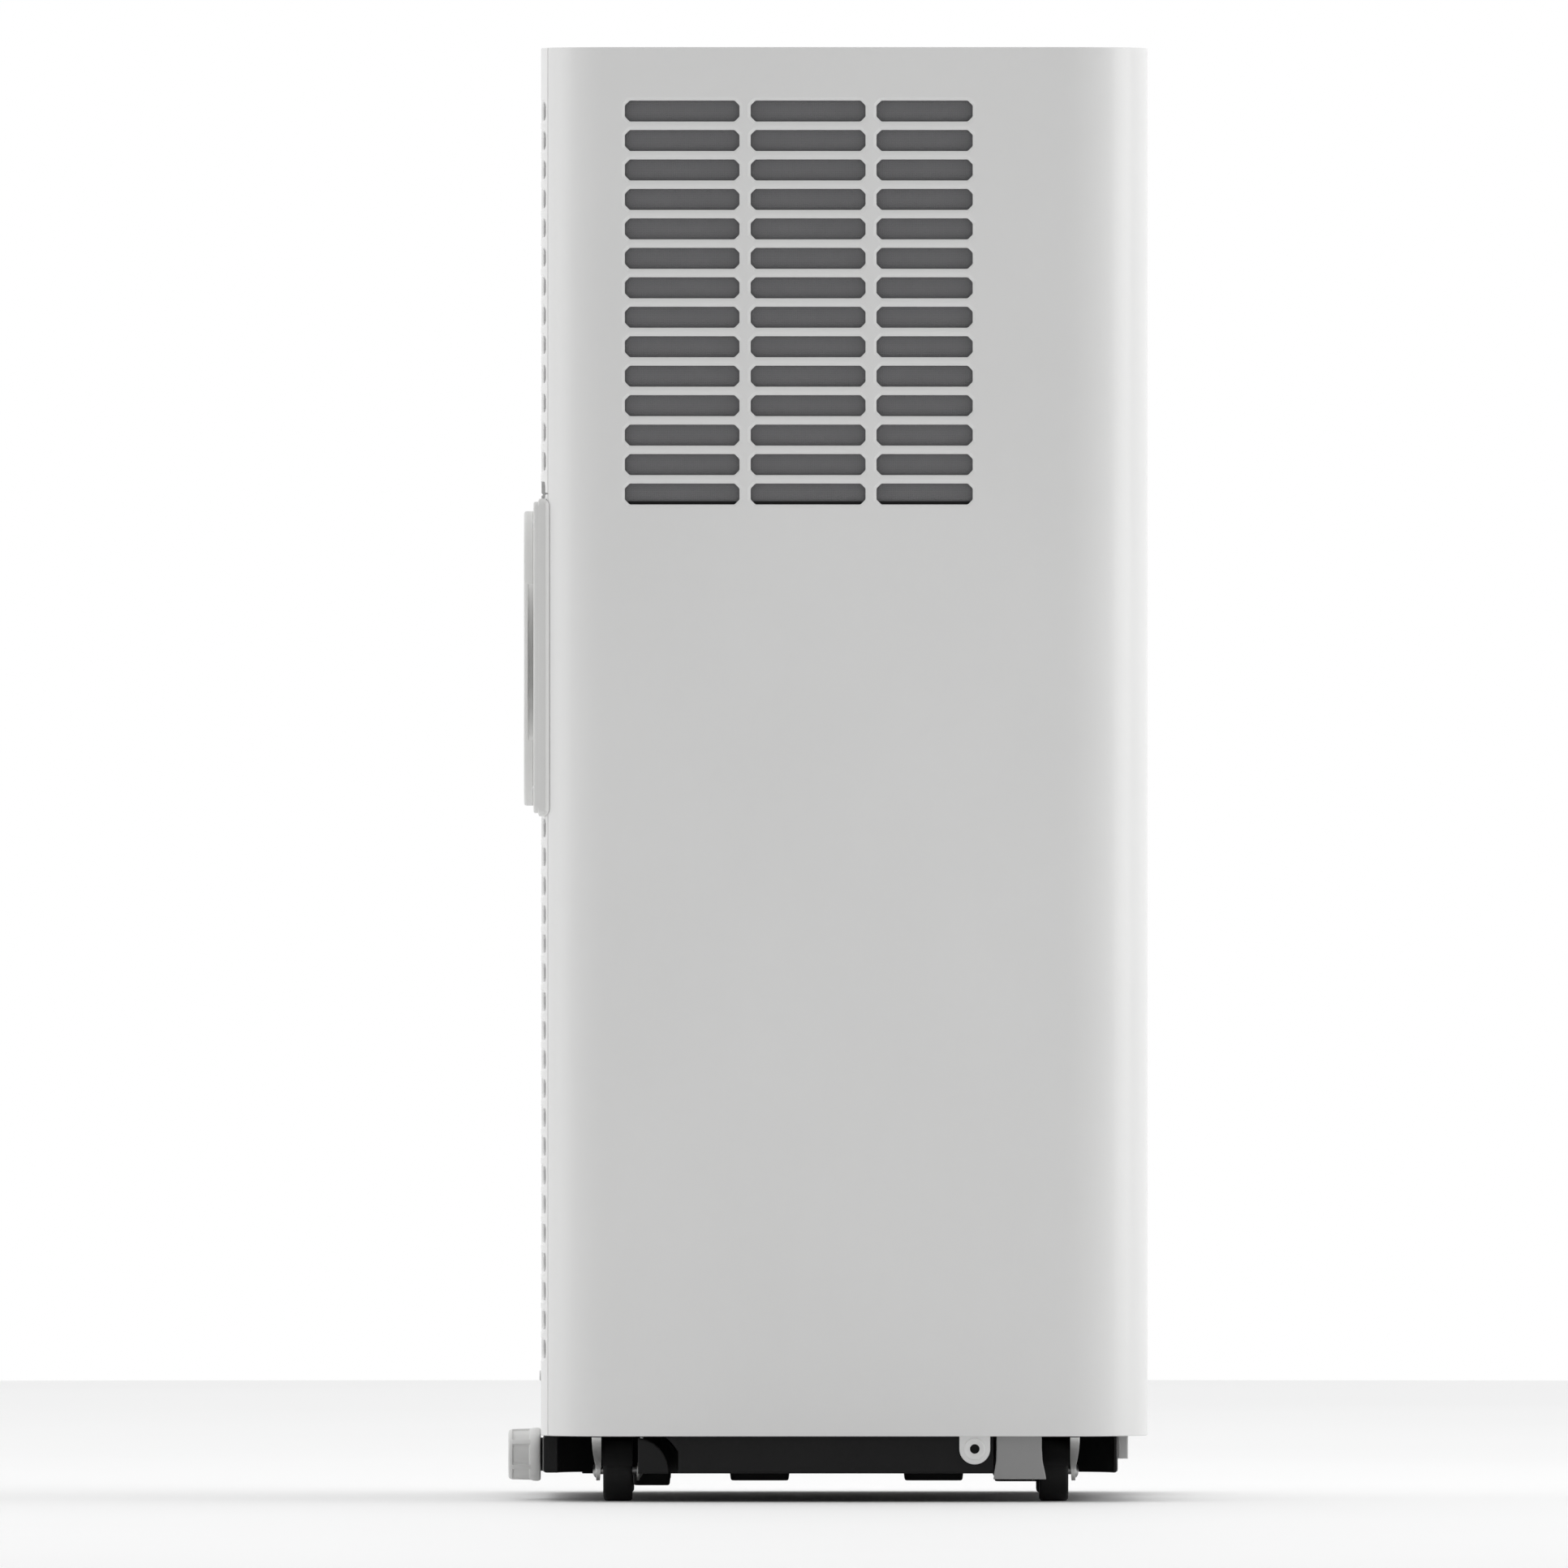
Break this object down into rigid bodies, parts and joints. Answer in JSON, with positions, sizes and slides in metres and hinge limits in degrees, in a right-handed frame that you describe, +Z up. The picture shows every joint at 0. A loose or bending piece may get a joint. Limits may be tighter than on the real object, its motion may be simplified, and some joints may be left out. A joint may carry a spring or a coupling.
{
  "type": "portable air conditioner",
  "caption": "Tall floor-standing portable air conditioner on casters, with side and rear grilles, a front louvre, a rear exhaust port and a drain cap.",
  "frame": {"origin": "on the floor under the centre of the overall box", "axes": "+Z up, -Y out of the front with the louvre, +Y out of the back with the exhaust port, X across the width"},
  "size_m": [0.33, 0.3062, 0.695],
  "materials": {
    "white_shell": "fine satin gloss",
    "satin_white": "satin",
    "light_grey": "satin",
    "grey_plastic": "satin",
    "black_plastic": "moulded satin",
    "gloss_black": "high gloss",
    "black_paint": "satin paint",
    "rubber": "matt",
    "zinc": "zinc plated",
    "steel": "pressed sheet",
    "copper": "drawn copper",
    "fins": "finned",
    "filter_mesh": "woven screen",
    "circuit_board": "solder mask"
  },
  "bodies": {
    "casing": {"side_panel_left": "white_shell", "side_panel_right": "white_shell", "front_panel": "white_shell", "back_panel": "white_shell", "top_cover": "white_shell", "side_filter_left": "filter_mesh", "side_filter_right": "filter_mesh", "back_filter": "filter_mesh", "control_fascia": "gloss_black", "display_lens": "gloss_black", "control_board": "circuit_board", "outlet_bezel": "satin_white", "exhaust_frame": "satin_white", "exhaust_adapter": "satin_white", "base_pan": "black_plastic", "skirt_plate_left": "grey_plastic", "skirt_plate_right": "grey_plastic", "cool_blower_housing": "black_plastic", "cool_blower_motor": "steel", "heat_blower_housing": "black_plastic", "heat_blower_motor": "steel", "evaporator": "fins", "condenser": "fins", "compressor": "black_paint", "accumulator": "black_paint", "discharge_tube": "copper", "suction_tube": "copper", "capillary_tube": "copper", "divider_tray": "grey_plastic", "electrical_box": "zinc", "run_capacitor": "light_grey"},
    "filter_door": {"filter_door": "white_shell"},
    "button_power": {"button_power": "light_grey"},
    "button_mode": {"button_mode": "light_grey"},
    "button_down": {"button_down": "light_grey"},
    "button_up": {"button_up": "light_grey"},
    "louvre_blade_1": {"louvre_blade_1": "white_shell"},
    "louvre_blade_2": {"louvre_blade_2": "white_shell"},
    "louvre_blade_3": {"louvre_blade_3": "white_shell"},
    "louvre_link": {"louvre_link": "satin_white"},
    "air_vane_1": {"air_vane_1": "satin_white"},
    "air_vane_2": {"air_vane_2": "satin_white"},
    "air_vane_3": {"air_vane_3": "satin_white"},
    "vane_link": {"vane_link": "satin_white"},
    "drain_plug": {"drain_plug": "rubber"},
    "drain_cap": {"drain_cap": "satin_white"},
    "cool_blower_wheel": {"cool_blower_wheel": "black_plastic"},
    "heat_blower_wheel": {"heat_blower_wheel": "black_plastic"},
    "caster_fork_back_left": {"caster_fork_back_left": "zinc", "caster_axle_back_left": "steel"},
    "caster_wheel_back_left": {"caster_wheel_back_left": "black_plastic"},
    "caster_fork_back_right": {"caster_fork_back_right": "zinc", "caster_axle_back_right": "steel"},
    "caster_wheel_back_right": {"caster_wheel_back_right": "black_plastic"},
    "caster_fork_front_left": {"caster_fork_front_left": "zinc", "caster_axle_front_left": "steel"},
    "caster_wheel_front_left": {"caster_wheel_front_left": "black_plastic"},
    "caster_fork_front_right": {"caster_fork_front_right": "zinc", "caster_axle_front_right": "steel"},
    "caster_wheel_front_right": {"caster_wheel_front_right": "black_plastic"}
  },
  "joints": [
    {"name": "filter_door_tilt", "type": "hinge", "parent": "casing", "child": "filter_door", "pos_m": [0, 0.13595, 0.4836], "axis": [-1, 0, 0], "range_deg": [0, 50]},
    {"name": "button_power_press", "type": "slide", "parent": "casing", "child": "button_power", "axis": [0, 0, -1], "range_m": [0, 0.001], "stiffness_N_per_m": 300, "springref_m": -0.001},
    {"name": "button_mode_press", "type": "slide", "parent": "casing", "child": "button_mode", "axis": [0, 0, -1], "range_m": [0, 0.001], "stiffness_N_per_m": 300, "springref_m": -0.001},
    {"name": "button_down_press", "type": "slide", "parent": "casing", "child": "button_down", "axis": [0, 0, -1], "range_m": [0, 0.001], "stiffness_N_per_m": 300, "springref_m": -0.001},
    {"name": "button_up_press", "type": "slide", "parent": "casing", "child": "button_up", "axis": [0, 0, -1], "range_m": [0, 0.001], "stiffness_N_per_m": 300, "springref_m": -0.001},
    {"name": "louvre_blade_1_tilt", "type": "hinge", "parent": "casing", "child": "louvre_blade_1", "pos_m": [0, -0.143, 0.614], "axis": [1, 0, 0], "range_deg": [-25, 25]},
    {"name": "louvre_blade_2_tilt", "type": "hinge", "parent": "casing", "child": "louvre_blade_2", "pos_m": [0, -0.143, 0.632], "axis": [1, 0, 0], "range_deg": [-25, 25]},
    {"name": "louvre_blade_3_tilt", "type": "hinge", "parent": "casing", "child": "louvre_blade_3", "pos_m": [0, -0.143, 0.65], "axis": [1, 0, 0], "range_deg": [-25, 25]},
    {"name": "louvre_link_pivot", "type": "hinge", "parent": "louvre_blade_1", "child": "louvre_link", "pos_m": [0.09, -0.1355, 0.614], "axis": [1, 0, 0], "range_deg": [-25, 25]},
    {"name": "air_vane_1_turn", "type": "hinge", "parent": "casing", "child": "air_vane_1", "pos_m": [-0.06, -0.119, 0.632], "axis": [0, 0, 1], "range_deg": [-30, 30]},
    {"name": "air_vane_2_turn", "type": "hinge", "parent": "casing", "child": "air_vane_2", "pos_m": [0, -0.119, 0.632], "axis": [0, 0, 1], "range_deg": [-30, 30]},
    {"name": "air_vane_3_turn", "type": "hinge", "parent": "casing", "child": "air_vane_3", "pos_m": [0.06, -0.119, 0.632], "axis": [0, 0, 1], "range_deg": [-30, 30]},
    {"name": "vane_link_pivot", "type": "hinge", "parent": "air_vane_1", "child": "vane_link", "pos_m": [-0.06, -0.1124, 0.614], "axis": [0, 0, 1], "range_deg": [-30, 30]},
    {"name": "drain_plug_slide", "type": "slide", "parent": "casing", "child": "drain_plug", "axis": [0, 1, 0], "range_m": [0, 0.006]},
    {"name": "drain_cap_turn", "type": "hinge", "parent": "drain_plug", "child": "drain_cap", "pos_m": [-0.07, 0.145, 0.0215], "axis": [0, -1, 0], "range_deg": [0, 540]},
    {"name": "caster_swivel_back_left", "type": "hinge", "parent": "casing", "child": "caster_fork_back_left", "pos_m": [-0.133, 0.1004, 0.033], "axis": [0, 0, 1], "continuous": true},
    {"name": "caster_roll_back_left", "type": "hinge", "parent": "caster_fork_back_left", "child": "caster_wheel_back_left", "pos_m": [-0.124, 0.1004, 0.0147], "axis": [0, 1, 0], "continuous": true},
    {"name": "caster_swivel_back_right", "type": "hinge", "parent": "casing", "child": "caster_fork_back_right", "pos_m": [0.133, 0.1004, 0.033], "axis": [0, 0, 1], "continuous": true},
    {"name": "caster_roll_back_right", "type": "hinge", "parent": "caster_fork_back_right", "child": "caster_wheel_back_right", "pos_m": [0.124, 0.1004, 0.0147], "axis": [0, 1, 0], "continuous": true},
    {"name": "caster_swivel_front_left", "type": "hinge", "parent": "casing", "child": "caster_fork_front_left", "pos_m": [-0.133, -0.1081, 0.033], "axis": [0, 0, 1], "continuous": true},
    {"name": "caster_roll_front_left", "type": "hinge", "parent": "caster_fork_front_left", "child": "caster_wheel_front_left", "pos_m": [-0.124, -0.1081, 0.0147], "axis": [0, 1, 0], "continuous": true},
    {"name": "caster_swivel_front_right", "type": "hinge", "parent": "casing", "child": "caster_fork_front_right", "pos_m": [0.133, -0.1081, 0.033], "axis": [0, 0, 1], "continuous": true},
    {"name": "caster_roll_front_right", "type": "hinge", "parent": "caster_fork_front_right", "child": "caster_wheel_front_right", "pos_m": [0.124, -0.1081, 0.0147], "axis": [0, 1, 0], "continuous": true},
    {"name": "cool_blower_spin", "type": "hinge", "parent": "casing", "child": "cool_blower_wheel", "pos_m": [0, 0.06, 0.575], "axis": [0, 1, 0], "continuous": true},
    {"name": "heat_blower_spin", "type": "hinge", "parent": "casing", "child": "heat_blower_wheel", "pos_m": [0.035, 0.06, 0.215], "axis": [0, 1, 0], "continuous": true}
  ],
  "couplings": [
    {"joint": "louvre_blade_2_tilt", "follows": "louvre_blade_1_tilt", "ratio": 1},
    {"joint": "louvre_blade_3_tilt", "follows": "louvre_blade_1_tilt", "ratio": 1},
    {"joint": "louvre_link_pivot", "follows": "louvre_blade_1_tilt", "ratio": -1},
    {"joint": "air_vane_2_turn", "follows": "air_vane_1_turn", "ratio": 1},
    {"joint": "air_vane_3_turn", "follows": "air_vane_1_turn", "ratio": 1},
    {"joint": "vane_link_pivot", "follows": "air_vane_1_turn", "ratio": -1},
    {"joint": "drain_plug_slide", "follows": "drain_cap_turn", "m_per_rad": 0.00063662}
  ]
}
